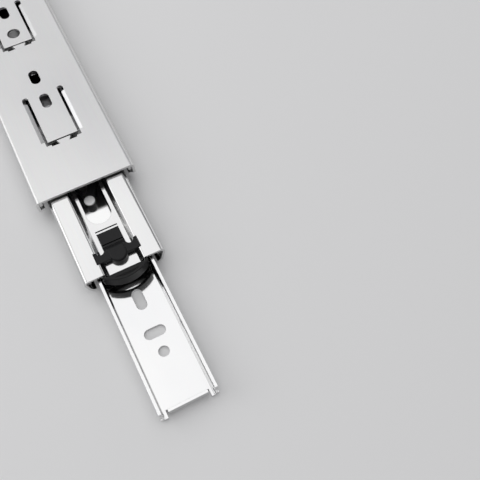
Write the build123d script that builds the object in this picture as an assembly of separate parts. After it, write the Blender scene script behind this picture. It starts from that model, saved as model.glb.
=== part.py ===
from build123d import *
import math
import os

os.makedirs("parts", exist_ok=True)

# A three-section, full-extension, ball-bearing cabinet drawer slide, shown partly pulled out.
# +X is the pull-out direction, +Y runs across the slide and +Z points to the cabinet side.
# While it is being built, x = 0 is the front edge of the outer (cabinet) member and z = 0 is
# the drawer face; every node is then moved along X so that the origin is the centre of the
# slide's footprint.

# ------------------------------------------------------------------ driving dimensions
SLIDE_LENGTH = 300.0        # closed length, which is the outer member's length
SLIDE_WIDTH = 45.5
SLIDE_DEPTH = 12.7
INTERMEDIATE_LENGTH = 288.0
INNER_LENGTH = 294.0
INTERMEDIATE_OUT = 43.4     # how far the intermediate stands out of the outer member
INNER_OUT = 62.2            # how far the inner member stands out of the intermediate
STROKE = 150.0              # travel of each of the two stages
INTERMEDIATE_SET_BACK = 4.0     # intermediate's front edge behind the outer's when closed
INNER_LEAD = 6.1                # inner's front edge ahead of the intermediate's when closed

OUTER_SHEET = 1.2
INTERMEDIATE_SHEET = 1.0
INNER_SHEET = 1.2
CAGE_SHEET = 0.5

BALL_R = 2.0
RACE_GAP = 0.12             # between a ball and the race that it rolls in
RACE_R = BALL_R + RACE_GAP
OUTER_BALL_Y = SLIDE_WIDTH / 2 - OUTER_SHEET - RACE_R
OUTER_BALL_Z = 5.6
INNER_BALL_Y = 13.6
INNER_BALL_Z = 4.3
BALLS_PER_GROUP = 3
BALL_PITCH = 5.3
GROUP_PITCH = 21.0
BALL_GROUPS = 6
CAGE_HOLE_R = BALL_R + 0.06

INTERMEDIATE_HALF_WIDTH = 17.85
BAND_TOP = 10.5             # the two raised bands beside the centre channel
CHANNEL_TOP = 8.0           # the recessed centre channel
CHANNEL_HALF = 7.1
CHANNEL_SLOPE = 2.1         # width of each slope between the channel and a band
INNER_HALF_WIDTH = 12.24
INNER_HEIGHT = 8.0

INTERMEDIATE_X1 = INTERMEDIATE_OUT
INTERMEDIATE_X0 = INTERMEDIATE_X1 - INTERMEDIATE_LENGTH
INNER_X1 = INTERMEDIATE_OUT + INNER_OUT
INNER_X0 = INNER_X1 - INNER_LENGTH
X_SHIFT = (SLIDE_LENGTH - INNER_X1) / 2

# Travel left in each stage from this pose, opening.
INTERMEDIATE_OPENING = STROKE - INTERMEDIATE_SET_BACK - INTERMEDIATE_OUT
INNER_OPENING = STROKE + INNER_LEAD - INNER_OUT

# Outer member: screw holes on the 32 mm grid and the lanced bayonet tabs.
SCREW_SLOT_WIDTH = 4.6
SCREW_SLOT_LENGTH = 8.8
OUTER_SLOTS_X = (-52.0, -68.0, -116.0, -164.0, -180.0, -244.0, -260.0)
SYSTEM_HOLES_X = (-100.0, -196.0)
SYSTEM_HOLE_R = 3.15
TAB_ENDS_X = (-28.5, -92.5, -220.5)
TAB_LENGTH = 29.2           # from a tab's free end to the rear of its slits
TAB_HALF = 7.1
TAB_END_GAP = 0.7
SLIT_WIDTH = 1.25
SLIT_OVERRUN = 2.0          # how far a slit runs past the tab's free end
SLIT_EYE_R = 1.45           # wider round eye at the rear of a slit
SLIT_EYE_LENGTH = 3.3
SLIT_BEVEL = (1.6, 0.85)    # width, depth
TAB_NOTCH_Y = (2.2, 6.0)
TAB_NOTCH_LENGTH = 2.9
TAB_NOTCH_SLANT = 1.4
LIP_TRIM = (4.0, 2.6, 6.4)  # how far back, height at its rear, height at the front edge
OUTER_CORNER_R = 1.3        # bend radii are along the sheet's centre line
OUTER_LIP_TURN = 78         # degrees from level, below the race's centre
CRIMP_X = (2.2, 3.6)        # distance of a ball stop from the end of its member
OUTER_CRIMP_Z = (6.6, 8.6)

# Intermediate member.
WINDOW_X = (-22.0, 18.8)
WINDOW_HALF = 5.4
RELIEF_SLIT_X = (21.65, 22.35)
PAD_OPENING_X = (23.1, 33.2)
PAD_OPENING_HALF = 4.95
ARM_SLOT_X = (33.0, 38.0)
ARM_SLOT_HALF = 9.8
ARM_TIP_NOTCH = (32.4, 8.0)     # rear end, inner side
STOP_TAB_Y = (7.2, 9.2)
STOP_TAB_Z = (2.6, 7.7)
STOP_TAB_ROOT = (0.8, 8.3)      # width, top
INTERMEDIATE_BEND_R = 0.75
BAND_CORNER_R = 1.6             # where a band turns down into its flange
INTERMEDIATE_LIP_TURN = 72      # degrees that the foot of its flange wraps round the race
FRONT_CRIMP_Y = (1.2, 2.6)      # outward from the balls' centre line
FRONT_CRIMP_Z = (4.0, 5.6)
REAR_CRIMP_X = (0.2, 1.6)
REAR_CRIMP_Z = (7.8, 9.0)
ACCESS_HOLES_FROM_FRONT = (112.0, 176.0, 240.0)
ACCESS_HOLE = (13.0, 9.0)

# Inner member: the same three-hole group every 96 mm.
HOLE_GROUPS_FROM_FRONT = (25.0, 121.0, 217.0)
CROSS_SLOT_OFFSET = 9.0
LONG_SLOT_OFFSET = 25.0
DRAWER_HOLE_R = 2.3
CROSS_SLOT_LENGTH = 9.2
LONG_SLOT_LENGTH = 9.6
REAR_HOLE_FROM_FRONT = 284.0
LIP_SET_BACK = 1.0
LIP_HALF = 8.3
LIP_TOP = 5.1
LIP_RELIEF = 0.8            # gap on each side of the lip, and its length behind the lip
LIP_RELIEF_LENGTH = 2.2
LIP_BEND_R = 0.9
FOOT_BEND_R = 1.1
FLANGE_SET_BACK = 0.6       # the flanges end behind the two corner lugs
LUG_TOP = 2.4
LUG_HALF = 9.6

# Release lever on the inner member.
LEVER_X = 3.2
LEVER_Y = -1.2
LEVER_HUB_R = 2.4
LEVER_Z = (1.3, 3.9)
LEVER_ARM_WIDTH = 3.4
LEVER_LEAF = 0.9
PIN_R = 1.3
PIN_CLEARANCE = 0.05
PIN_HEAD_R = 2.5
PIN_HEAD_TOP = 4.7

# Ball cages: where their front ends are in this pose. A cage moves half as far as the
# member that rolls on it, and stops 5 mm inside the end of its race when fully open.
CAGE_END_MARGIN = 5.0
OUTER_CAGE_LENGTH = 134.0
INNER_CAGE_LENGTH = 126.0
OUTER_CAGE_X1 = -CAGE_END_MARGIN - INTERMEDIATE_OPENING / 2
INNER_CAGE_X1 = INTERMEDIATE_X1 - CAGE_END_MARGIN - INNER_OPENING / 2
CAGE_BRIDGE = 12.0
CAGE_BELOW_BALLS = 1.7      # how far a ball strip reaches below the balls' centre line
CAGE_OPEN_INSIDE = 1.0      # between the bridges, inward from the balls' centre line
OUTER_CAGE_WEB_Z = 11.0
OUTER_CAGE_BEND_R = 0.8
OUTER_CAGE_OPEN_Z = 9.0     # nothing of the web is left above this between the bridges
OUTER_CAGE_BRIDGES = (20.0, 88.0)   # from its front end; clear of the outer's screw slots
INNER_CAGE_WEB_Z = 6.4
INNER_CAGE_WEB_HALF = 9.0
INNER_CAGE_SHOULDER_Y = 10.4
INNER_CAGE_SHOULDER_Z = 8.75
INNER_CAGE_BEND_R = 0.6
INNER_CAGE_OPEN_Z = 5.0
INNER_CAGE_BRIDGES = (18.0, 110.0)  # from its front end; the first clears the lever's hook

CUT = 40.0                  # oversize of shapes that only cut


# ------------------------------------------------------------------ helpers
def sheet_section(half_path, thickness):
    """Face in the YZ plane: a sheet of this thickness bent along a centre line and its mirror."""
    left_half = mirror(half_path, Plane.YZ)
    centre_line = Wire([*half_path.edges(), *left_half.edges()])
    return Plane.YZ * trace(centre_line, line_width=thickness)


def rolled(half_path, thickness, x0, x1):
    """Sheet-metal channel between x0 and x1."""
    return Pos(x0, 0, 0) * extrude(sheet_section(half_path, thickness), x1 - x0)


def block(x0, x1, y0, y1, z0, z1):
    return Pos(x0, y0, z0) * Box(
        x1 - x0, y1 - y0, z1 - z0, align=(Align.MIN, Align.MIN, Align.MIN)
    )


def mirrored_pair(shape):
    return shape + mirror(shape, Plane.XZ)


def slot_cutter(x, length, width, across=False, y=0.0):
    """Upright obround cutter centred on x, y."""
    outline = SlotOverall(length, width)
    if across:
        outline = Rot(0, 0, 90) * outline
    return extrude(Pos(x, y, -CUT / 2) * outline, CUT)


def hole_cutter(x, radius, y=0.0):
    return Pos(x, y, 0) * Cylinder(radius, CUT)


def in_band(cutter, z0, z1):
    """The part of an upright cutter between two heights."""
    return cutter & block(-SLIDE_LENGTH, SLIDE_LENGTH, -CUT, CUT, z0, z1)


# ------------------------------------------------------------------ outer member
def outer_half_path():
    web_z = SLIDE_DEPTH - OUTER_SHEET / 2
    wall_y = SLIDE_WIDTH / 2 - OUTER_SHEET / 2
    corner = FilletPolyline(
        (0, web_z), (wall_y, web_z), (wall_y, OUTER_BALL_Z), radius=OUTER_CORNER_R
    )
    race_r = RACE_R + OUTER_SHEET / 2
    lip = CenterArc((OUTER_BALL_Y, OUTER_BALL_Z), race_r, 0, -OUTER_LIP_TURN)
    return Wire([*corner.edges(), *lip.edges()])


def slit_bevel(x0, x1):
    """Wedge that slopes the web down to the outer edge of a slit, on the +Y side."""
    width, depth = SLIT_BEVEL
    slit_edge = TAB_HALF + SLIT_WIDTH
    outline = Polygon(
        (TAB_HALF + SLIT_WIDTH / 2, CUT),
        (slit_edge + width, CUT),
        (slit_edge + width, SLIDE_DEPTH),
        (slit_edge, SLIDE_DEPTH - depth),
        (TAB_HALF + SLIT_WIDTH / 2, SLIDE_DEPTH - depth),
        align=None,
    )
    return Pos((x0 + x1) / 2, 0, 0) * extrude(Plane.YZ * outline, (x1 - x0) / 2, both=True)


def tab_cutters(end_x):
    """U-shaped cut that frees a tab: two slits with round eyes and bevelled outer edges,
    a narrow gap across the free end and a slanted notch in front of each corner."""
    rear_x = end_x - TAB_LENGTH
    slit_y1 = TAB_HALF + SLIT_WIDTH
    eye_y = TAB_HALF + SLIT_EYE_R
    eye_x1 = rear_x + SLIT_EYE_LENGTH
    slit = block(rear_x + SLIT_EYE_R, end_x + SLIT_OVERRUN, TAB_HALF, slit_y1, 0, CUT)
    eye = hole_cutter(rear_x + SLIT_EYE_R, SLIT_EYE_R, y=eye_y)
    eye += block(rear_x + SLIT_EYE_R, eye_x1, TAB_HALF, eye_y + SLIT_EYE_R, 0, CUT)
    gap = block(end_x, end_x + TAB_END_GAP, -slit_y1, slit_y1, 0, CUT)
    corner = block(end_x, end_x + SLIT_OVERRUN, TAB_NOTCH_Y[1], slit_y1, 0, CUT)
    notch_outline = Polygon(
        (end_x, TAB_NOTCH_Y[0] + TAB_NOTCH_SLANT),
        (end_x + TAB_NOTCH_LENGTH, TAB_NOTCH_Y[0]),
        (end_x + TAB_NOTCH_LENGTH, TAB_NOTCH_Y[1]),
        (end_x, TAB_NOTCH_Y[1]),
        align=None,
    )
    notch = extrude(notch_outline, CUT, both=True)
    bevel = slit_bevel(eye_x1 - 0.1, end_x - TAB_END_GAP)
    sides = mirrored_pair(slit + eye + corner + notch + bevel)
    return in_band(sides + gap, SLIDE_DEPTH - 2 * OUTER_SHEET, SLIDE_DEPTH + 1)


def lip_trim_cutter():
    """Wedge that cuts the outer's lip back at the front end, on the +Y side."""
    back, rear_z, front_z = LIP_TRIM
    outline = Polygon((0.1, 0), (-back, 0), (-back, rear_z), (0.1, front_z), align=None)
    wedge = extrude(Plane.XZ * outline, CUT, both=True)
    return wedge & block(-CUT, CUT, INTERMEDIATE_HALF_WIDTH - 1, CUT, -CUT, CUT)


def outer_member():
    part = rolled(outer_half_path(), OUTER_SHEET, -SLIDE_LENGTH, 0)
    for end_x in TAB_ENDS_X:
        part -= tab_cutters(end_x)
    for x in OUTER_SLOTS_X:
        part -= slot_cutter(x, SCREW_SLOT_LENGTH, SCREW_SLOT_WIDTH)
    for x in SYSTEM_HOLES_X:
        part -= hole_cutter(x, SYSTEM_HOLE_R)
    part -= mirrored_pair(lip_trim_cutter())
    # Crimp in each race near the front, which stops the ball cage.
    near, far = CRIMP_X
    crimp = block(
        -far, -near, OUTER_BALL_Y + RACE_R / 3, (SLIDE_WIDTH - OUTER_SHEET) / 2, *OUTER_CRIMP_Z
    )
    part += mirrored_pair(crimp)
    part -= hole_cutter(REAR_RIVET_X, REAR_RIVET_R)
    return part


# ------------------------------------------------------------------ intermediate member
def intermediate_half_path():
    half = INTERMEDIATE_SHEET / 2
    wall_y = INTERMEDIATE_HALF_WIDTH - half
    band_z = BAND_TOP - half
    channel_z = CHANNEL_TOP - half
    race_r = RACE_R + half
    # Straight flank that touches both races' circles from inside one and outside the other.
    span_y = OUTER_BALL_Y - INNER_BALL_Y
    span_z = OUTER_BALL_Z - INNER_BALL_Z
    between = math.hypot(span_y, span_z)
    lean = math.asin(2 * race_r / between)
    along = math.atan2(-span_z, -span_y) + lean
    across = along - math.pi / 2
    upper = (
        OUTER_BALL_Y + race_r * math.cos(across),
        OUTER_BALL_Z + race_r * math.sin(across),
    )
    lower_start = math.degrees(across) - 180
    race = CenterArc(
        (INNER_BALL_Y, INNER_BALL_Z), race_r, lower_start, -INTERMEDIATE_LIP_TURN
    )
    lower = race @ 0
    # The flank, carried up to the vertical wall.
    slope = (upper[0] - lower.X) / (upper[1] - lower.Y)
    knee_z = lower.Y + (wall_y - lower.X) / slope
    top = FilletPolyline(
        (0, channel_z),
        (CHANNEL_HALF, channel_z),
        (CHANNEL_HALF + CHANNEL_SLOPE, band_z),
        (wall_y, band_z),
        (wall_y, knee_z),
        (lower.X, lower.Y),
        radius=(INTERMEDIATE_BEND_R, INTERMEDIATE_BEND_R, BAND_CORNER_R, INTERMEDIATE_BEND_R),
    )
    return Wire([*top.edges(), *race.edges()])


def stop_tab():
    """Tongue bent down from the rear edge of an arm slot: it catches the release lever's hook."""
    y0, y1 = STOP_TAB_Y
    x1 = ARM_SLOT_X[0]
    x0 = x1 - INTERMEDIATE_SHEET
    root_width, root_top = STOP_TAB_ROOT
    tongue = block(x0, x1, y0, y1, *STOP_TAB_Z)
    return tongue + block(x0, x1, y0, y0 + root_width, STOP_TAB_Z[0], root_top)


def intermediate_member():
    x0, x1 = INTERMEDIATE_X0, INTERMEDIATE_X1
    part = rolled(intermediate_half_path(), INTERMEDIATE_SHEET, x0, x1)
    window_length = WINDOW_X[1] - WINDOW_X[0]
    cuts = slot_cutter(sum(WINDOW_X) / 2, window_length, 2 * WINDOW_HALF)
    cuts += block(*PAD_OPENING_X, -PAD_OPENING_HALF, PAD_OPENING_HALF, 0, CUT)
    cuts += block(*RELIEF_SLIT_X, -PAD_OPENING_HALF, PAD_OPENING_HALF, 0, CUT)
    cuts += block(*ARM_SLOT_X, -ARM_SLOT_HALF, ARM_SLOT_HALF, 0, CUT)
    notch_x0, notch_y0 = ARM_TIP_NOTCH
    cuts += mirrored_pair(block(notch_x0, ARM_SLOT_X[1], notch_y0, ARM_SLOT_HALF, 0, CUT))
    for distance in ACCESS_HOLES_FROM_FRONT:
        cuts += slot_cutter(x1 - distance, *ACCESS_HOLE)
    part -= in_band(cuts, CHANNEL_TOP - 1.5 * INTERMEDIATE_SHEET, BAND_TOP + 1)
    part += stop_tab()
    # Crimps that stop the ball cages: one in the inner race at the front, one outside at the rear.
    crimp_y0, crimp_y1 = FRONT_CRIMP_Y
    near, far = CRIMP_X
    front_crimp = block(
        x1 - far, x1 - near, INNER_BALL_Y + crimp_y0, INNER_BALL_Y + crimp_y1, *FRONT_CRIMP_Z
    )
    near, far = REAR_CRIMP_X
    wall_inside = INTERMEDIATE_HALF_WIDTH - INTERMEDIATE_SHEET / 2
    rear_crimp = block(x0 + near, x0 + far, wall_inside, OUTER_BALL_Y, *REAR_CRIMP_Z)
    part += mirrored_pair(front_crimp + rear_crimp)
    return part


# ------------------------------------------------------------------ inner member
def inner_half_path():
    half = INNER_SHEET / 2
    wall_y = INNER_HALF_WIDTH - half
    race_r = RACE_R + half
    reach = math.degrees(math.acos((INNER_BALL_Y - wall_y) / race_r))
    race = CenterArc((INNER_BALL_Y, INNER_BALL_Z), race_r, 180 + reach, -2 * reach)
    foot = FilletPolyline((0, half), (wall_y, half), (wall_y, (race @ 0).Y), radius=FOOT_BEND_R)
    lip = Line(race @ 1, (wall_y, INNER_HEIGHT))
    return Wire([*foot.edges(), *race.edges(), *lip.edges()])


def inner_member():
    x0, x1 = INNER_X0, INNER_X1
    part = rolled(inner_half_path(), INNER_SHEET, x0, x1)
    for distance in HOLE_GROUPS_FROM_FRONT:
        part -= hole_cutter(x1 - distance, DRAWER_HOLE_R)
        part -= slot_cutter(
            x1 - distance - CROSS_SLOT_OFFSET, CROSS_SLOT_LENGTH, 2 * DRAWER_HOLE_R, across=True
        )
        part -= slot_cutter(x1 - distance - LONG_SLOT_OFFSET, LONG_SLOT_LENGTH, 2 * DRAWER_HOLE_R)
    part -= hole_cutter(x1 - REAR_HOLE_FROM_FRONT, DRAWER_HOLE_R)
    # Front end: the web turns up into a low lip between two corner lugs; the flanges end
    # a little behind the lugs.
    lip_x1 = x1 - LIP_SET_BACK
    relief = LIP_HALF + LIP_RELIEF
    middle = INNER_SHEET / 2
    part -= block(lip_x1 - LIP_RELIEF_LENGTH, x1 + 1, -relief, relief, -1, 2)
    bend = FilletPolyline(
        (lip_x1 - LIP_RELIEF_LENGTH - 0.2, middle),
        (lip_x1 - middle, middle),
        (lip_x1 - middle, LIP_TOP),
        radius=LIP_BEND_R,
    )
    lip_section = Plane.XZ * trace(Wire(bend.edges()), line_width=INNER_SHEET)
    part += extrude(lip_section, LIP_HALF, both=True)
    above_lugs = block(x1 - FLANGE_SET_BACK, x1 + 1, LUG_HALF, CUT, LUG_TOP, CUT)
    part -= mirrored_pair(above_lugs)
    return part


# ------------------------------------------------------------------ ball cages and balls
def ball_xs(front_x, length):
    """Ball centres along a cage: groups of balls, evenly spaced between its ends."""
    span = (BALL_GROUPS - 1) * GROUP_PITCH + (BALLS_PER_GROUP - 1) * BALL_PITCH
    first = front_x - (length - span) / 2
    return [
        first - group * GROUP_PITCH - ball * BALL_PITCH
        for group in range(BALL_GROUPS)
        for ball in range(BALLS_PER_GROUP)
    ]


def cage(half_path, front_x, length, ball_y, ball_z, bridge_starts, clear_above):
    """U-shaped cage: two ball strips joined by short bridges, open between them."""
    rear_x = front_x - length
    part = rolled(half_path, CAGE_SHEET, rear_x, front_x)
    edges = [front_x + 1]
    for start in bridge_starts:
        edges += [front_x - start, front_x - start - CAGE_BRIDGE]
    edges.append(rear_x - 1)
    inside = ball_y - CAGE_OPEN_INSIDE
    for x1, x0 in zip(edges[0::2], edges[1::2]):
        part -= block(x0, x1, -inside, inside, clear_above, CUT)
    for x in ball_xs(front_x, length):
        part -= Pos(x, 0, ball_z) * Rot(90, 0, 0) * Cylinder(CAGE_HOLE_R, 2 * CUT)
    return part


def outer_ball_cage():
    path = FilletPolyline(
        (0, OUTER_CAGE_WEB_Z),
        (OUTER_BALL_Y, OUTER_CAGE_WEB_Z),
        (OUTER_BALL_Y, OUTER_BALL_Z - CAGE_BELOW_BALLS),
        radius=OUTER_CAGE_BEND_R,
    )
    return cage(
        Wire(path.edges()), OUTER_CAGE_X1, OUTER_CAGE_LENGTH, OUTER_BALL_Y, OUTER_BALL_Z,
        OUTER_CAGE_BRIDGES, OUTER_CAGE_OPEN_Z,
    )


def inner_ball_cage():
    path = FilletPolyline(
        (0, INNER_CAGE_WEB_Z),
        (INNER_CAGE_WEB_HALF, INNER_CAGE_WEB_Z),
        (INNER_CAGE_SHOULDER_Y, INNER_CAGE_SHOULDER_Z),
        (INNER_BALL_Y, INNER_CAGE_SHOULDER_Z),
        (INNER_BALL_Y, INNER_BALL_Z - CAGE_BELOW_BALLS),
        radius=INNER_CAGE_BEND_R,
    )
    return cage(
        Wire(path.edges()), INNER_CAGE_X1, INNER_CAGE_LENGTH, INNER_BALL_Y, INNER_BALL_Z,
        INNER_CAGE_BRIDGES, INNER_CAGE_OPEN_Z,
    )


def ball_row(front_x, length, ball_y, ball_z):
    return Compound([
        Pos(x, ball_y, ball_z) * Sphere(BALL_R) for x in ball_xs(front_x, length)
    ])


# ------------------------------------------------------------------ front bumper
# A T-shaped clip that sits in the intermediate's channel, joined under the channel to a
# bowed blade that stands in front of the intermediate's edge.
BUMPER_Z = (5.35, 10.8)         # bottom of the whole bumper, top of the blade
CLIP_GAP = 0.15                 # between the clip and the edges of its openings
CLIP_BOTTOM = CHANNEL_TOP + 0.1     # underside of the parts that lie on the channel
PAD_TOP = 8.15
PAD_HALF = PAD_OPENING_HALF - CLIP_GAP
GROOVE_X = (28.95, 29.7)
GROOVE_DEPTH = 1.8
RIDGE_X = (29.85, 30.65)
RIDGE_TOP = 8.7
NECK_TOP = 9.8
NECK_HALF = 4.95
ARM_X = (32.75, 37.75)
ARM_HALF = 9.6
ARM_TOP = 10.2
ARM_RECESS = (32.4, 6.6, 1.7)   # centre x, centre y, radius
ARM_FILLET = 0.25
LOBE_X = 36.4
LOBE_R = 3.9
LOBE_TOP = 10.8
LOBE_FILLET = 0.9
KEEL_HALF = 6.2
KEEL_TOP = CHANNEL_TOP - INTERMEDIATE_SHEET - 0.15
EDGE_GAP = 0.25                 # from the intermediate's front edge
EDGE_BAR_X1 = INTERMEDIATE_X1 + 2.0
EDGE_BAR_TOP = 8.7
BLADE_X1 = INTERMEDIATE_X1 + 5.2
BLADE_HALF = 9.9
BLADE_RISE = 3.75
BLADE_WALL = 1.1


def bumper_clip():
    """Pad with a groove and a ridge, ramp, cross bar with recessed arms, and rounded lobe."""
    bottom = BUMPER_Z[0]
    pad = block(PAD_OPENING_X[0] + CLIP_GAP, ARM_X[0] + 0.5, -PAD_HALF, PAD_HALF, bottom, PAD_TOP)
    pad -= block(*GROOVE_X, -CUT, CUT, PAD_TOP - GROOVE_DEPTH, CUT)
    ramp_outline = Polygon(
        (RIDGE_X[0], bottom), (RIDGE_X[0], RIDGE_TOP), (RIDGE_X[1], RIDGE_TOP),
        (RIDGE_X[1] + 0.2, PAD_TOP + 0.3), (ARM_X[0], NECK_TOP), (ARM_X[1], NECK_TOP),
        (ARM_X[1], bottom), align=None,
    )
    ramp = extrude(Plane.XZ * ramp_outline, NECK_HALF - CLIP_GAP, both=True)
    bar = block(*ARM_X, -ARM_HALF, ARM_HALF, CLIP_BOTTOM, ARM_TOP)
    recess_x, recess_y, recess_r = ARM_RECESS
    bar -= mirrored_pair(hole_cutter(recess_x, recess_r, y=recess_y))
    bar = fillet(bar.edges().group_by(Axis.Z)[-1], ARM_FILLET)
    lobe_outline = SlotCenterToCenter(2 * (LOBE_X - ARM_X[0]), 2 * LOBE_R)
    lobe_outline = Pos(ARM_X[0], 0) * lobe_outline
    lobe_outline &= Pos(ARM_X[0] + CUT / 2, 0) * Rectangle(CUT, CUT)
    lobe = extrude(Pos(0, 0, CLIP_BOTTOM) * lobe_outline, LOBE_TOP - CLIP_BOTTOM)
    lobe = fillet(lobe.edges().group_by(Axis.Z)[-1], LOBE_FILLET)
    return pad + ramp + bar + lobe


def bumper_blade():
    """Bowed blade, with a straight bar along the intermediate's edge behind it."""
    bottom, top = BUMPER_Z
    radius = (BLADE_HALF ** 2 + BLADE_RISE ** 2) / (2 * BLADE_RISE)
    centre_x = BLADE_X1 - radius
    edge_x = INTERMEDIATE_X1 + EDGE_GAP
    in_front = Pos(edge_x + CUT / 2, 0) * Rectangle(CUT, 2 * BLADE_HALF)
    outline = in_front & (Pos(centre_x, 0) * Circle(radius))
    ring = outline - Pos(centre_x, 0) * Circle(radius - BLADE_WALL)
    blade = extrude(Pos(0, 0, bottom) * ring, top - bottom)
    blade = fillet(blade.edges().group_by(Axis.Z)[-1], 0.2)
    bar = extrude(Pos(0, 0, bottom) * outline, EDGE_BAR_TOP - bottom)
    bar &= block(edge_x, EDGE_BAR_X1, -BLADE_HALF, BLADE_HALF, bottom, top)
    return blade + bar


def front_bumper():
    keel = block(
        ARM_X[0], INTERMEDIATE_X1 + EDGE_GAP + 0.5, -KEEL_HALF, KEEL_HALF, BUMPER_Z[0], KEEL_TOP
    )
    return bumper_clip() + keel + bumper_blade()


# ------------------------------------------------------------------ release lever
ARM_LINE_Y = 5.1                # the straight part of the arm
HOOK_Y = (4.0, 9.2)
HOOK_LENGTH = 5.6
HOOK_TIP = (1.6, 6.6)           # length of the hook's flat end, where its slope starts
FINGER_PAD_X = (-38.0, -20.0)
FINGER_PAD_Y = (2.4, 6.8)
FINGER_PAD_RISE = 0.8
GRIP_GROOVE = (3.0, 1.0, 0.5)   # pitch, width, depth
HUB_TO_ARM = 14.0               # along the slide, from the pin to the straight part
ARM_BEND_R = 8.0
LEAF_START = (1.2, 1.6)         # from the pin, rearward and toward -Y
LEAF_MIDDLE = (14.0, 4.9)       # from the pin rearward, from the centre line toward -Y
LEAF_END = (24.0, 7.6)


def release_lever():
    """Flat lever: hub on its pin, arm along one side, raised finger pad, hook and leaf spring."""
    z0, z1 = LEVER_Z
    hook_front = ARM_SLOT_X[0] - INTERMEDIATE_SHEET - 0.1 - INNER_OPENING
    arm_line = FilletPolyline(
        (LEVER_X, LEVER_Y),
        (LEVER_X - HUB_TO_ARM, ARM_LINE_Y),
        (hook_front - HOOK_LENGTH / 2, ARM_LINE_Y),
        radius=ARM_BEND_R,
    )
    tip_length, slope_y = HOOK_TIP
    hook = Polygon(
        (hook_front, HOOK_Y[0]),
        (hook_front, HOOK_Y[1]),
        (hook_front - tip_length, HOOK_Y[1]),
        (hook_front - HOOK_LENGTH, slope_y),
        (hook_front - HOOK_LENGTH, HOOK_Y[0]),
        align=None,
    )
    leaf_line = ThreePointArc(
        (LEVER_X - LEAF_START[0], LEVER_Y - LEAF_START[1]),
        (LEVER_X - LEAF_MIDDLE[0], -LEAF_MIDDLE[1]),
        (LEVER_X - LEAF_END[0], -LEAF_END[1]),
    )
    outline = Pos(LEVER_X, LEVER_Y) * Circle(LEVER_HUB_R)
    outline += trace(Wire(arm_line.edges()), line_width=LEVER_ARM_WIDTH)
    outline += hook
    outline += trace(Wire(leaf_line.edges()), line_width=LEVER_LEAF)
    part = extrude(Pos(0, 0, z0) * outline, z1 - z0)
    pad_top = z1 + FINGER_PAD_RISE
    pad = block(*FINGER_PAD_X, *FINGER_PAD_Y, z1 - 0.2, pad_top)
    pitch, width, depth = GRIP_GROOVE
    grooves = int((FINGER_PAD_X[1] - FINGER_PAD_X[0]) / pitch)
    for index in range(grooves):
        x = FINGER_PAD_X[0] + pitch * (index + 0.5)
        pad -= block(x, x + width, -CUT, CUT, pad_top - depth, CUT)
    part += pad
    return part - hole_cutter(LEVER_X, PIN_R + PIN_CLEARANCE, y=LEVER_Y)


def lever_pin():
    """Pin fixed to the inner member's web, with a low domed head over the lever."""
    upright = (Align.CENTER, Align.CENTER, Align.MIN)
    head_bottom = LEVER_Z[1] + 0.1
    head_height = PIN_HEAD_TOP - head_bottom
    shank = Cylinder(PIN_R, head_bottom - INNER_SHEET, align=upright)
    head = Cylinder(PIN_HEAD_R, head_height, align=upright)
    head = fillet(head.edges().group_by(Axis.Z)[-1], 0.35)
    return Pos(LEVER_X, LEVER_Y, INNER_SHEET) * shank + Pos(LEVER_X, LEVER_Y, head_bottom) * head


# ------------------------------------------------------------------ rear bumper
# Both members rest against it when the slide is closed.
REAR_BUMPER_X0 = -SLIDE_LENGTH + 0.5
CLOSED_INTERMEDIATE_X0 = INTERMEDIATE_X0 - INTERMEDIATE_OUT - INTERMEDIATE_SET_BACK
CLOSED_INNER_X0 = INNER_X0 - INNER_OUT + INNER_LEAD - INTERMEDIATE_OUT - INTERMEDIATE_SET_BACK
REAR_GAP = 0.3
REAR_BUMPER_Z = (0.6, 8.4)      # bottom of the lower block, bottom of the upper pad
REAR_UPPER_HALF = 15.0
REAR_LOWER_HALF = 9.5
REAR_WALL = (1.8, 2.0)          # front wall and side walls of the hollow lower block
CHEEK_SLOT_Y = (10.5, 12.0)
CHEEK_SLOT_ENDS = (1.6, 0.9)    # solid left at the rear and at the front of each slot
REAR_RIVET_X = -296.6
REAR_RIVET_R = 1.6
REAR_RIVET_HEAD_R = 2.3
REAR_RIVET_Z = (7.3, 8.4)       # bottom and top of the head


def rear_bumper():
    """Buffer under the rear of the outer's web: an upper pad for the intermediate member and
    a lower block for the inner member, with two flexible cheeks."""
    x0, upper_x1 = REAR_BUMPER_X0, CLOSED_INTERMEDIATE_X0 - REAR_GAP
    lower_x1 = CLOSED_INNER_X0 - REAR_GAP
    bottom, middle = REAR_BUMPER_Z
    front_wall, side_wall = REAR_WALL
    upper = block(
        x0, upper_x1, -REAR_UPPER_HALF, REAR_UPPER_HALF, middle, SLIDE_DEPTH - OUTER_SHEET
    )
    lower = block(x0, lower_x1, -REAR_LOWER_HALF, REAR_LOWER_HALF, bottom, middle)
    hollow_half = REAR_LOWER_HALF - side_wall
    lower -= block(x0 - 1, lower_x1 - front_wall, -hollow_half, hollow_half, 0, middle)
    slot_rear, slot_front = CHEEK_SLOT_ENDS
    cheek_slot = block(x0 + slot_rear, upper_x1 - slot_front, *CHEEK_SLOT_Y, 0, CUT)
    part = upper + lower - mirrored_pair(cheek_slot)
    return part - hole_cutter(REAR_RIVET_X, REAR_RIVET_R)


def rear_rivet():
    upright = (Align.CENTER, Align.CENTER, Align.MIN)
    bottom, top = REAR_RIVET_Z
    shank = Cylinder(REAR_RIVET_R, SLIDE_DEPTH - top, align=upright)
    head = Cylinder(REAR_RIVET_HEAD_R, top - bottom, align=upright)
    return Pos(REAR_RIVET_X, 0, top) * shank + Pos(REAR_RIVET_X, 0, bottom) * head


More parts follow.
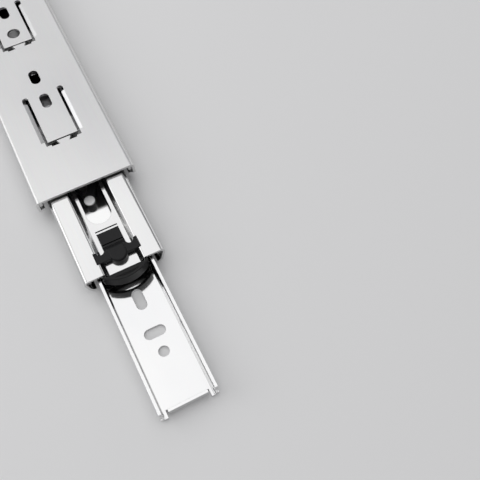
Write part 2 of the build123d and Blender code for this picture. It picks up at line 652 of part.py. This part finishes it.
# ------------------------------------------------------------------ write the nodes
def main():
    outer_row = (OUTER_CAGE_X1, OUTER_CAGE_LENGTH)
    inner_row = (INNER_CAGE_X1, INNER_CAGE_LENGTH)
    nodes = {
        "outer_member": outer_member(),
        "intermediate_member": intermediate_member(),
        "inner_member": inner_member(),
        "outer_ball_cage": outer_ball_cage(),
        "inner_ball_cage": inner_ball_cage(),
        "outer_balls_left": ball_row(*outer_row, -OUTER_BALL_Y, OUTER_BALL_Z),
        "outer_balls_right": ball_row(*outer_row, OUTER_BALL_Y, OUTER_BALL_Z),
        "inner_balls_left": ball_row(*inner_row, -INNER_BALL_Y, INNER_BALL_Z),
        "inner_balls_right": ball_row(*inner_row, INNER_BALL_Y, INNER_BALL_Z),
        "front_bumper": front_bumper(),
        "release_lever": release_lever(),
        "lever_pin": lever_pin(),
        "rear_bumper": rear_bumper(),
        "rear_bumper_rivet": rear_rivet(),
    }
    for name, shape in nodes.items():
        export_step(Pos(X_SHIFT, 0, 0) * shape, f"parts/{name}.step")


main()
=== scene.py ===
import bpy
from mathutils import Matrix, Vector


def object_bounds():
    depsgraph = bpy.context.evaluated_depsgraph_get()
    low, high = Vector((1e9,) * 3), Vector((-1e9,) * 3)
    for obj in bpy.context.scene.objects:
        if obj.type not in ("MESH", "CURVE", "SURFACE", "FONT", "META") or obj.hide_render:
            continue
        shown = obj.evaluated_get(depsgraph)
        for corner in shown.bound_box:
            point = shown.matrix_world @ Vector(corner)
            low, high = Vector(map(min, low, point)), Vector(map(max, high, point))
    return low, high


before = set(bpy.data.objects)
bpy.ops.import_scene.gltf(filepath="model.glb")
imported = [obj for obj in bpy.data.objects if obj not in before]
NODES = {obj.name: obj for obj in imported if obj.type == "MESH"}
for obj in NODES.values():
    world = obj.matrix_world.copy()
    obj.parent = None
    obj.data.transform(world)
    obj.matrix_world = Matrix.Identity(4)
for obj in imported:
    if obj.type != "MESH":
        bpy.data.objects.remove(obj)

CAD_LO, CAD_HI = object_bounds()
MM = 0.001

BEVEL_SAMPLES = 6
EDGE_SOFTNESS = 0.75        # cosine of the lean at which an edge gets the full painted edge highlight

FLOOR_REACH = 6.0
FLOOR_GAP = 0.02 * MM
FLOOR_GREY = 0.80
WORLD_COLOUR = (0.8, 0.8, 0.82)
WORLD_STRENGTH = 0.40

# Soft boxes: name, place, what it faces, width and height, power.
SOFT_BOXES = (
    ("overhead_box", (-0.10, 0.05, 1.10), (0.0, 0.0, 0.0), (1.5, 1.2), 5.2),
    ("far_box", (-1.10, 0.10, 0.75), (0.0, 0.0, 0.0), (0.9, 0.7), 1.3),
    ("front_box", (1.10, -0.45, 0.65), (0.1, 0.0, 0.0), (0.6, 0.5), 1.2),
    ("side_box", (-0.55, -0.95, 0.65), (0.0, 0.0, 0.0), (1.2, 0.8), 4.2),
    ("low_box", (-0.60, 1.15, 0.30), (0.0, 0.0, 0.0), (1.2, 0.45), 1.3),
)

# Camera of the reference picture; it looks against CAMERA_BACK.
CAMERA_SENSOR = 36.0
CAMERA_LENS = 51.166
CAMERA_NEAR = 0.01
CAMERA_PLACE = (0.27378, -0.00959, 0.25925)
CAMERA_RIGHT = (0.4536, 0.89101, -0.01893)
CAMERA_BACK = (0.43154, -0.20101, 0.87941)


# ------------------------------------------------------------------ node helpers
class Shader:
    """Small wrapper that builds one procedural material."""

    def __init__(self, name):
        self.material = bpy.data.materials.new(name)
        self.material.use_nodes = True
        self.tree = self.material.node_tree
        self.tree.nodes.clear()
        self.out = self.node("ShaderNodeOutputMaterial")
        self.bsdf = self.node("ShaderNodeBsdfPrincipled")
        self.link(self.bsdf, "BSDF", self.out, "Surface")
        self.place = self.node("ShaderNodeTexCoord")

    def node(self, kind, **settings):
        made = self.tree.nodes.new(kind)
        for key, value in settings.items():
            setattr(made, key, value)
        return made

    def link(self, a, out_name, b, in_name):
        self.tree.links.new(a.outputs[out_name], b.inputs[in_name])

    def stretched(self, scale):
        """Object coordinates, stretched by a scale along each axis."""
        mapping = self.node("ShaderNodeMapping")
        mapping.inputs["Scale"].default_value = scale
        self.link(self.place, "Object", mapping, "Vector")
        return mapping

    def noise(self, scale, stretch=(1, 1, 1), detail=3.0, distortion=0.0):
        made = self.node("ShaderNodeTexNoise")
        made.inputs["Scale"].default_value = scale
        made.inputs["Detail"].default_value = detail
        made.inputs["Distortion"].default_value = distortion
        self.link(self.stretched(stretch), "Vector", made, "Vector")
        return made

    def ramp(self, source, socket, stops):
        """Value from a source mapped through (position, grey or colour) stops."""
        made = self.node("ShaderNodeValToRGB")
        self.link(source, socket, made, "Fac")
        elements = made.color_ramp.elements
        while len(elements) < len(stops):
            elements.new(0.5)
        for element, (position, value) in zip(elements, stops):
            element.position = position
            if isinstance(value, (int, float)):
                value = (value, value, value)
            element.color = (*value, 1.0)
        return made

    def math(self, operation, a, b):
        """Math node; a is a (node, socket) pair, b another one or a number."""
        made = self.node("ShaderNodeMath", operation=operation)
        for index, value in enumerate((a, b)):
            if isinstance(value, (int, float)):
                made.inputs[index].default_value = value
            else:
                self.tree.links.new(value[0].outputs[value[1]], made.inputs[index])
        return made

    def blend_colour(self, fac, a, b, mode="MIX"):
        """Mix two colours; each is a colour or a (node, socket) pair."""
        made = self.node("ShaderNodeMix", data_type="RGBA", blend_type=mode)
        for socket, value in ((0, fac), (6, a), (7, b)):
            if isinstance(value, tuple) and isinstance(value[0], bpy.types.Node):
                self.tree.links.new(value[0].outputs[value[1]], made.inputs[socket])
            elif socket == 0:
                made.inputs[0].default_value = value
            else:
                made.inputs[socket].default_value = (*value, 1.0)
        return made

    def edge_mask(self, radius):
        """1 on edges and corners, 0 on flats: how far the bevelled normal leans away."""
        bevel = self.node("ShaderNodeBevel", samples=BEVEL_SAMPLES)
        bevel.inputs["Radius"].default_value = radius
        geometry = self.node("ShaderNodeNewGeometry")
        dot = self.node("ShaderNodeVectorMath", operation="DOT_PRODUCT")
        self.link(bevel, "Normal", dot, 0)
        self.link(geometry, "Normal", dot, 1)
        made = self.node("ShaderNodeMapRange")
        made.inputs["From Min"].default_value = 1.0
        made.inputs["From Max"].default_value = EDGE_SOFTNESS
        self.link(dot, "Value", made, "Value")
        return made

    def soft_normal(self, radius, heights):
        """Rounded edges, then bumps in turn: heights are (node, socket, distance, strength)."""
        last = self.node("ShaderNodeBevel", samples=BEVEL_SAMPLES)
        last.inputs["Radius"].default_value = radius
        for source, socket, distance, strength in heights:
            bump = self.node("ShaderNodeBump")
            bump.inputs["Distance"].default_value = distance
            bump.inputs["Strength"].default_value = strength
            self.link(source, socket, bump, "Height")
            self.link(last, "Normal", bump, "Normal")
            last = bump
        self.link(last, "Normal", self.bsdf, "Normal")


# ------------------------------------------------------------------ materials
def plated_steel(name, tone, rough, grain, haze):
    """Zinc-plated rolled sheet: lengthwise rolling grain, soft haze, fine scratches."""
    line_share = 0.04
    s = Shader(name)
    s.bsdf.inputs["Metallic"].default_value = 1.0
    lines = s.noise(1.0, (45, 2200, 2200))
    clouds = s.noise(30.0, (0.5, 1, 1), distortion=0.4)
    specks = s.noise(1400.0, detail=2.0)
    scratch = s.noise(1.0, (25, 900, 900), detail=1.0, distortion=0.6)
    scratch_line = s.ramp(scratch, "Fac", ((0.0, 0.0), (0.72, 0.0), (0.76, 1.0), (1.0, 1.0)))
    edge = s.edge_mask(0.22 * MM)

    low = tuple(tone * x for x in (0.97, 0.97, 0.975))
    high = tuple(tone * x for x in (1.02, 1.02, 1.015))
    base = s.ramp(clouds, "Fac", ((0.35, low), (0.65, high)))
    grained = s.blend_colour(grain, (base, "Color"), (lines, "Color"), mode="SOFT_LIGHT")
    # Edges and corners are lightened towards 0.95 grey through the edge mask: a painted
    # highlight along the sheet edges.
    painted_edge_highlight = s.blend_colour((edge, "Result"), (grained, 2), (0.95, 0.95, 0.95))
    s.link(painted_edge_highlight, 2, s.bsdf, "Base Color")

    cloud_part = s.math("MULTIPLY", (clouds, "Fac"), haze)
    line_part = s.math("MULTIPLY", (lines, "Fac"), line_share)
    both = s.math("ADD", (cloud_part, 0), (line_part, 0))
    based = s.math("ADD", (both, 0), rough - 0.5 * (haze + line_share))
    scratched = s.math("MULTIPLY", (scratch_line, "Color"), 0.05)
    total = s.math("ADD", (based, 0), (scratched, 0))
    s.link(total, 0, s.bsdf, "Roughness")
    s.soft_normal(0.16 * MM, (
        (lines, "Fac", 0.004 * MM, 0.5 * grain),
        (specks, "Fac", 0.004 * MM, 0.3 * grain),
        (scratch_line, "Color", 0.003 * MM, 0.2),
    ))
    return s.material


def cage_steel():
    """Thin pressed strip, a little duller, with a film of grease in patches."""
    s = Shader("cage_strip_steel")
    s.bsdf.inputs["Metallic"].default_value = 1.0
    lines = s.noise(1.0, (90, 1500, 1500))
    film = s.noise(160.0, (0.6, 1, 1), detail=4.0, distortion=0.8)
    base = s.ramp(film, "Fac", ((0.35, (0.60, 0.60, 0.61)), (0.65, (0.74, 0.74, 0.74))))
    s.link(base, "Color", s.bsdf, "Base Color")
    rough = s.ramp(film, "Fac", ((0.3, 0.24), (0.7, 0.42)))
    s.link(rough, "Color", s.bsdf, "Roughness")
    s.soft_normal(0.1 * MM, ((lines, "Fac", 0.005 * MM, 0.4), (film, "Fac", 0.02 * MM, 0.2)))
    return s.material


def ball_steel():
    """Polished chrome steel under a thin smear of grease."""
    s = Shader("polished_ball_steel")
    s.bsdf.inputs["Metallic"].default_value = 1.0
    smear = s.noise(500.0, distortion=0.7)
    base = s.ramp(smear, "Fac", ((0.4, (0.80, 0.80, 0.80)), (0.7, (0.70, 0.69, 0.66))))
    s.link(base, "Color", s.bsdf, "Base Color")
    rough = s.ramp(smear, "Fac", ((0.4, 0.06), (0.75, 0.24)))
    s.link(rough, "Color", s.bsdf, "Roughness")
    s.soft_normal(0.02 * MM, ((smear, "Fac", 0.01 * MM, 0.15),))
    return s.material


def rivet_steel():
    """Tumbled rivet and pin: matte bright heads, slightly dimpled."""
    s = Shader("bright_rivet_steel")
    s.bsdf.inputs["Metallic"].default_value = 1.0
    dimples = s.noise(900.0)
    edge = s.edge_mask(0.2 * MM)
    base = s.ramp(dimples, "Fac", ((0.35, (0.84, 0.84, 0.84)), (0.7, (0.92, 0.92, 0.91))))
    # Rims of the heads are lightened towards 0.96 grey through the edge mask: a painted
    # highlight.
    painted_edge_highlight = s.blend_colour((edge, "Result"), (base, "Color"), (0.96, 0.96, 0.95))
    s.link(painted_edge_highlight, 2, s.bsdf, "Base Color")
    rough = s.ramp(dimples, "Fac", ((0.3, 0.50), (0.7, 0.62)))
    s.link(rough, "Color", s.bsdf, "Roughness")
    s.soft_normal(0.15 * MM, ((dimples, "Fac", 0.02 * MM, 0.25),))
    return s.material


def moulded_plastic(name, dark, light, rough):
    """Moulded nylon: fine mould texture, faint flow marks, and edges painted paler as a
    highlight.
    """
    flow_share = 0.16
    texture_share = 0.08
    s = Shader(name)
    s.bsdf.inputs["Specular IOR Level"].default_value = 0.22
    texture = s.noise(3200.0, detail=2.0)
    flow = s.noise(120.0, (1, 1.6, 1), distortion=0.9)
    edge = s.edge_mask(0.2 * MM)
    base = s.ramp(flow, "Fac", ((0.3, dark), (0.75, light)))
    edge_highlight_colour = tuple(x * 4.0 + 0.02 for x in light)
    # Edges and rims are painted much paler than the body: a painted highlight on the black
    # plastic.
    painted_edge_highlight = s.blend_colour((edge, "Result"), (base, "Color"), edge_highlight_colour)
    s.link(painted_edge_highlight, 2, s.bsdf, "Base Color")
    flow_part = s.math("MULTIPLY", (flow, "Fac"), flow_share)
    texture_part = s.math("MULTIPLY", (texture, "Fac"), texture_share)
    both = s.math("ADD", (flow_part, 0), (texture_part, 0))
    total = s.math("ADD", (both, 0), rough - 0.5 * (flow_share + texture_share))
    s.link(total, 0, s.bsdf, "Roughness")
    s.soft_normal(0.2 * MM, (
        (texture, "Fac", 0.010 * MM, 0.35),
        (flow, "Fac", 0.04 * MM, 0.12),
    ))
    return s.material


# ------------------------------------------------------------------ paint the CAD nodes
OUTER = plated_steel("zinc_satin", tone=0.70, rough=0.34, grain=0.12, haze=0.05)
MIDDLE = plated_steel("zinc_bright_middle", tone=0.68, rough=0.15, grain=0.10, haze=0.05)
INNER = plated_steel("zinc_bright_inner", tone=0.75, rough=0.10, grain=0.06, haze=0.03)
CAGE = cage_steel()
BALLS = ball_steel()
RIVET = rivet_steel()
BUMPER = moulded_plastic(
    "black_nylon", (0.007, 0.007, 0.0075), (0.012, 0.012, 0.0125), 0.40
)
LEVER = moulded_plastic(
    "dark_lever_nylon", (0.010, 0.010, 0.011), (0.016, 0.016, 0.017), 0.42
)

FINISH = {
    "outer_member": OUTER,
    "intermediate_member": MIDDLE,
    "inner_member": INNER,
    "outer_ball_cage": CAGE,
    "inner_ball_cage": CAGE,
    "outer_balls_left": BALLS,
    "outer_balls_right": BALLS,
    "inner_balls_left": BALLS,
    "inner_balls_right": BALLS,
    "front_bumper": BUMPER,
    "rear_bumper": BUMPER,
    "release_lever": LEVER,
    "lever_pin": RIVET,
    "rear_bumper_rivet": RIVET,
}
for node_name, finish in FINISH.items():
    for material_slot in NODES[node_name].material_slots:
        material_slot.material = finish


# ------------------------------------------------------------------ floor
def pale_floor():
    """Large plain square just under the slide."""
    mesh = bpy.data.meshes.new("floor")
    r, z = FLOOR_REACH, CAD_LO.z - FLOOR_GAP
    mesh.from_pydata([(-r, -r, z), (r, -r, z), (r, r, z), (-r, r, z)], [], [(0, 1, 2, 3)])
    floor = bpy.data.objects.new("floor", mesh)
    bpy.context.scene.collection.objects.link(floor)
    s = Shader("pale_floor")
    s.bsdf.inputs["Base Color"].default_value = (FLOOR_GREY, FLOOR_GREY, FLOOR_GREY, 1.0)
    s.bsdf.inputs["Roughness"].default_value = 0.65
    mesh.materials.append(s.material)


pale_floor()


# ------------------------------------------------------------------ light
def soft_box(name, location, target, size, energy):
    """Rectangular area light that faces its target."""
    data = bpy.data.lights.new(name, "AREA")
    data.shape = "RECTANGLE"
    data.size, data.size_y = size
    data.energy = energy
    light = bpy.data.objects.new(name, data)
    bpy.context.scene.collection.objects.link(light)
    light.location = location
    toward = Vector(target) - Vector(location)
    light.rotation_mode = "QUATERNION"
    light.rotation_quaternion = toward.to_track_quat("-Z", "Y")


for box in SOFT_BOXES:
    soft_box(*box)

world = bpy.data.worlds.new("studio")
world.use_nodes = True
background = world.node_tree.nodes["Background"]
background.inputs["Color"].default_value = (*WORLD_COLOUR, 1.0)
background.inputs["Strength"].default_value = WORLD_STRENGTH
bpy.context.scene.world = world
bpy.context.scene.view_settings.view_transform = "Standard"

# ------------------------------------------------------------------ camera
camera_data = bpy.data.cameras.new("camera")
camera_data.sensor_width = CAMERA_SENSOR
camera_data.lens = CAMERA_LENS
camera_data.clip_start = CAMERA_NEAR
camera = bpy.data.objects.new("camera", camera_data)
bpy.context.scene.collection.objects.link(camera)
right = Vector(CAMERA_RIGHT).normalized()
back = Vector(CAMERA_BACK).normalized()
up = back.cross(right).normalized()
turn = Matrix((right, up, back)).transposed().to_4x4()
camera.matrix_world = Matrix.Translation(CAMERA_PLACE) @ turn
bpy.context.scene.camera = camera
